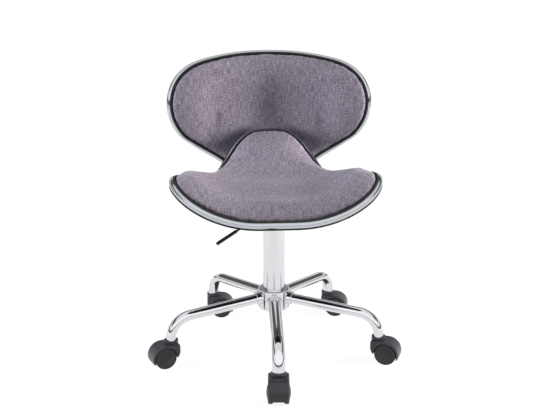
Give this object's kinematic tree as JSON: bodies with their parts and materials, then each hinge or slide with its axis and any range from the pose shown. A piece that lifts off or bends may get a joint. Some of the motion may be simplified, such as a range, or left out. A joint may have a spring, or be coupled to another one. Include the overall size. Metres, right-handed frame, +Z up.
{
  "type": "office chair",
  "caption": "Low swivel work chair with a saddle seat and rear tongue, a wrap-round padded back, a gas lift with a height lever and a bright tubular star base on twin-wheel castors.",
  "frame": {"origin": "on the floor, under the axis of the gas lift", "axes": "+Z up, the sitter faces -Y, +X is the sitter's left"},
  "size_m": [0.5602, 0.5238, 0.648],
  "materials": {
    "fabric": "woven grey-mauve melange upholstery over foam",
    "under_fabric": "dark lining cloth",
    "piping": "black vinyl piping",
    "bright_trim": "bright edge trim",
    "shell_ply": "moulded plywood, stained black",
    "zinc_steel": "zinc plated",
    "black_steel": "black powder coat",
    "grip_rubber": "black sleeve",
    "chrome": "polished chrome plate",
    "lift_black": "black enamel",
    "bright_steel": "ground steel",
    "black_plastic": "satin black moulding",
    "bumper_rubber": "black rubber",
    "wheel_plastic": "black moulding"
  },
  "bodies": {
    "base": {"base_hub": "chrome", "base_arm_1": "chrome", "base_arm_2": "chrome", "base_arm_3": "chrome", "base_arm_4": "chrome", "base_arm_5": "chrome", "arm_plugs": "black_plastic", "castor_stems": "bright_steel", "castor_grip_rings": "zinc_steel", "column_tube": "chrome", "column_bush": "black_plastic", "thrust_bearing": "bright_steel"},
    "lift_rod": {"piston_rod": "bright_steel", "piston": "bright_steel", "rod_clip": "zinc_steel", "rod_bumper": "bumper_rubber"},
    "seat": {"seat_shell": "shell_ply", "seat_cushion": "fabric", "seat_under_cover": "under_fabric", "seat_trim": "bright_trim", "seat_piping": "piping", "back_shell": "shell_ply", "back_cushion": "fabric", "back_rear_cover": "fabric", "back_trim": "bright_trim", "back_piping": "piping", "threaded_inserts": "zinc_steel", "plate_screws": "zinc_steel", "back_screws": "zinc_steel", "back_spacers": "black_steel", "seat_plate": "black_steel", "taper_socket": "black_steel", "lever_ears": "black_steel", "lever_pin": "zinc_steel", "gas_cylinder": "lift_black", "cylinder_gland": "lift_black"},
    "lever": {"lever_rod": "black_steel", "lever_grip": "grip_rubber"},
    "valve": {"valve_pin": "bright_steel"},
    "castor_1": {"castor_body_1": "black_plastic", "castor_axle_1": "bright_steel"},
    "wheel_left_1": {"castor_wheel_left_1": "wheel_plastic"},
    "wheel_right_1": {"castor_wheel_right_1": "wheel_plastic"},
    "castor_2": {"castor_body_2": "black_plastic", "castor_axle_2": "bright_steel"},
    "wheel_left_2": {"castor_wheel_left_2": "wheel_plastic"},
    "wheel_right_2": {"castor_wheel_right_2": "wheel_plastic"},
    "castor_3": {"castor_body_3": "black_plastic", "castor_axle_3": "bright_steel"},
    "wheel_left_3": {"castor_wheel_left_3": "wheel_plastic"},
    "wheel_right_3": {"castor_wheel_right_3": "wheel_plastic"},
    "castor_4": {"castor_body_4": "black_plastic", "castor_axle_4": "bright_steel"},
    "wheel_left_4": {"castor_wheel_left_4": "wheel_plastic"},
    "wheel_right_4": {"castor_wheel_right_4": "wheel_plastic"},
    "castor_5": {"castor_body_5": "black_plastic", "castor_axle_5": "bright_steel"},
    "wheel_left_5": {"castor_wheel_left_5": "wheel_plastic"},
    "wheel_right_5": {"castor_wheel_right_5": "wheel_plastic"}
  },
  "joints": [
    {"name": "seat_swivel", "type": "hinge", "parent": "base", "child": "lift_rod", "pos_m": [0, 0, 0.11], "axis": [0, 0, 1], "continuous": true},
    {"name": "seat_height", "type": "slide", "parent": "lift_rod", "child": "seat", "axis": [0, 0, 1], "range_m": [0, 0.12]},
    {"name": "lever_lift", "type": "hinge", "parent": "seat", "child": "lever", "pos_m": [-0.02121, -0.02121, 0.32575], "axis": [-0.7071, 0.7071, 0], "range_deg": [0, 6], "stiffness_Nm_per_rad": 0.6},
    {"name": "valve_press", "type": "slide", "parent": "seat", "child": "valve", "axis": [0, 0, 1], "range_m": [-0.0032, 0]},
    {"name": "castor_1_swivel", "type": "hinge", "parent": "base", "child": "castor_1", "pos_m": [-0.0067, -0.23991, 0.05], "axis": [0, 0, 1], "continuous": true},
    {"name": "wheel_left_1_spin", "type": "hinge", "parent": "castor_1", "child": "wheel_left_1", "pos_m": [-0.00806, -0.25936, 0.024], "axis": [0.9976, -0.0698, 0], "continuous": true},
    {"name": "wheel_right_1_spin", "type": "hinge", "parent": "castor_1", "child": "wheel_right_1", "pos_m": [-0.00806, -0.25936, 0.024], "axis": [0.9976, -0.0698, 0], "continuous": true},
    {"name": "castor_2_swivel", "type": "hinge", "parent": "base", "child": "castor_2", "pos_m": [0.22609, -0.08051, 0.05], "axis": [0, 0, 1], "continuous": true},
    {"name": "wheel_left_2_spin", "type": "hinge", "parent": "castor_2", "child": "wheel_left_2", "pos_m": [0.24404, -0.08813, 0.024], "axis": [0.3907, 0.9205, 0], "continuous": true},
    {"name": "wheel_right_2_spin", "type": "hinge", "parent": "castor_2", "child": "wheel_right_2", "pos_m": [0.24404, -0.08813, 0.024], "axis": [0.3907, 0.9205, 0], "continuous": true},
    {"name": "castor_3_swivel", "type": "hinge", "parent": "base", "child": "castor_3", "pos_m": [0.14644, 0.19015, 0.05], "axis": [0, 0, 1], "continuous": true},
    {"name": "wheel_left_3_spin", "type": "hinge", "parent": "castor_3", "child": "wheel_left_3", "pos_m": [0.16543, 0.18576, 0.024], "axis": [0.225, 0.9744, 0], "continuous": true},
    {"name": "wheel_right_3_spin", "type": "hinge", "parent": "castor_3", "child": "wheel_right_3", "pos_m": [0.16543, 0.18576, 0.024], "axis": [0.225, 0.9744, 0], "continuous": true},
    {"name": "castor_4_swivel", "type": "hinge", "parent": "base", "child": "castor_4", "pos_m": [-0.13559, 0.19803, 0.05], "axis": [0, 0, 1], "continuous": true},
    {"name": "wheel_left_4_spin", "type": "hinge", "parent": "castor_4", "child": "wheel_left_4", "pos_m": [-0.11614, 0.19667, 0.024], "axis": [0.0698, 0.9976, 0], "continuous": true},
    {"name": "wheel_right_4_spin", "type": "hinge", "parent": "castor_4", "child": "wheel_right_4", "pos_m": [-0.11614, 0.19667, 0.024], "axis": [0.0698, 0.9976, 0], "continuous": true},
    {"name": "castor_5_swivel", "type": "hinge", "parent": "base", "child": "castor_5", "pos_m": [-0.23023, -0.06776, 0.05], "axis": [0, 0, 1], "continuous": true},
    {"name": "wheel_left_5_spin", "type": "hinge", "parent": "castor_5", "child": "wheel_left_5", "pos_m": [-0.24818, -0.07538, 0.024], "axis": [0.3907, -0.9205, 0], "continuous": true},
    {"name": "wheel_right_5_spin", "type": "hinge", "parent": "castor_5", "child": "wheel_right_5", "pos_m": [-0.24818, -0.07538, 0.024], "axis": [0.3907, -0.9205, 0], "continuous": true}
  ],
  "couplings": [
    {"joint": "valve_press", "follows": "lever_lift", "m_per_rad": -0.03}
  ]
}
